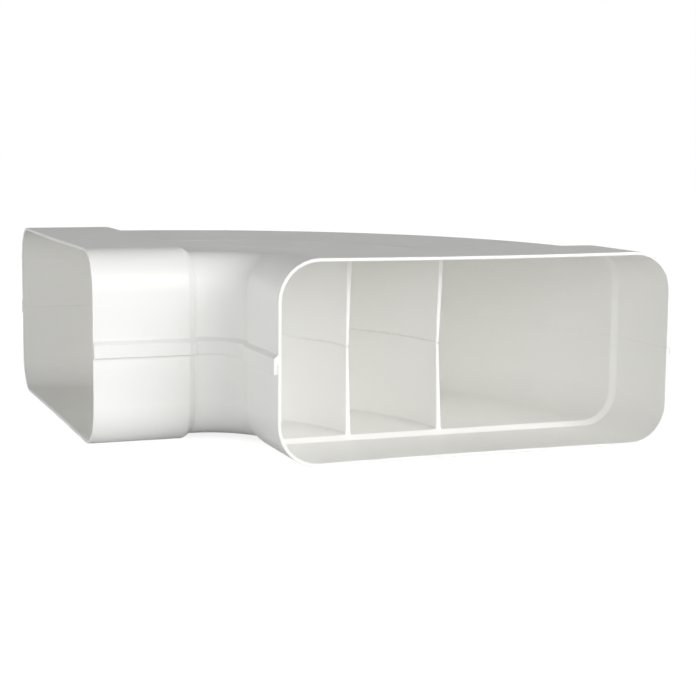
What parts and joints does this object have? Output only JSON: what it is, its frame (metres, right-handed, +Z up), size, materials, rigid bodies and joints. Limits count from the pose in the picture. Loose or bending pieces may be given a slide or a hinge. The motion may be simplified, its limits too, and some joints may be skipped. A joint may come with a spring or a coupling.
{
  "type": "flat duct bend",
  "caption": "Horizontal right-angle bend for flat ventilation duct: two moulded half shells, two sockets and curved guide vanes.",
  "frame": {"origin": "centre of the plan box, at the level that the socket undersides rest on", "axes": "+Z up; the front socket opens towards -Y and the left socket towards -X"},
  "size_m": [0.2096, 0.2096, 0.073],
  "materials": {
    "upper_shell": "satin white moulded plastic",
    "lower_shell": "satin white moulded plastic"
  },
  "bodies": {
    "root": {"upper_shell": "upper_shell", "lower_shell": "lower_shell"}
  },
  "joints": []
}
